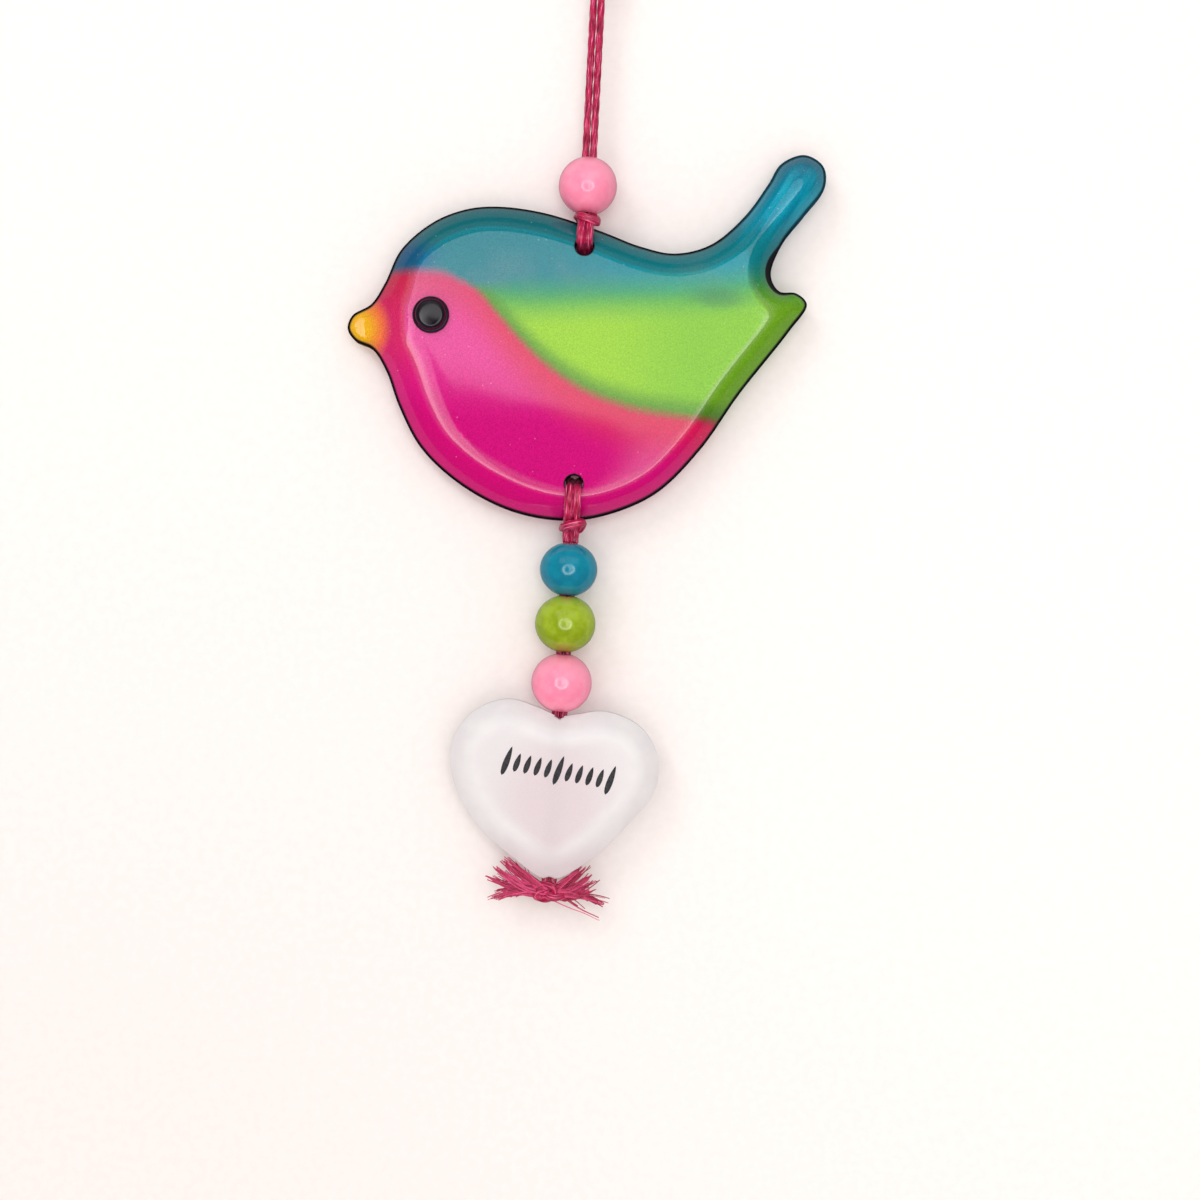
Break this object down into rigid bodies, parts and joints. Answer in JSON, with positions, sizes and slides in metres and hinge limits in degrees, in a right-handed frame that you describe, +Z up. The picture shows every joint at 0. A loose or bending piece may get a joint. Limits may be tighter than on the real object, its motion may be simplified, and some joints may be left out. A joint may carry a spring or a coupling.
{
  "type": "bird suncatcher",
  "caption": "Cast glass bird suncatcher on a knotted cord loop, with coloured beads above and below it and a frosted glass heart on a cord with frayed ends.",
  "frame": {"origin": "inside of the hanging loop, at its top, where a hook carries the part", "axes": "+Z up along the hanging cord, front of the bird towards -Y, bird's beak towards -X"},
  "size_m": [0.08, 0.0106, 0.1747],
  "materials": {
    "bird_glass": "glossy cast glass in teal, lime, pink and amber areas that run into each other",
    "black_glass": "glossy black cabochon",
    "pink_glass": "glossy milky pink glass",
    "teal_glass": "glossy teal glass",
    "lime_glass": "glossy lime glass",
    "frosted_glass": "frosted white glass with flat black print",
    "satin_cord": "crimson pink satin cord, frayed at its lower end"
  },
  "bodies": {
    "root": {"bird": "bird_glass", "eye": "black_glass", "hanging_cord": "satin_cord", "top_bead": "pink_glass", "drop_cord": "satin_cord", "teal_bead": "teal_glass", "lime_bead": "lime_glass", "pink_bead": "pink_glass", "heart": "frosted_glass"}
  },
  "joints": []
}
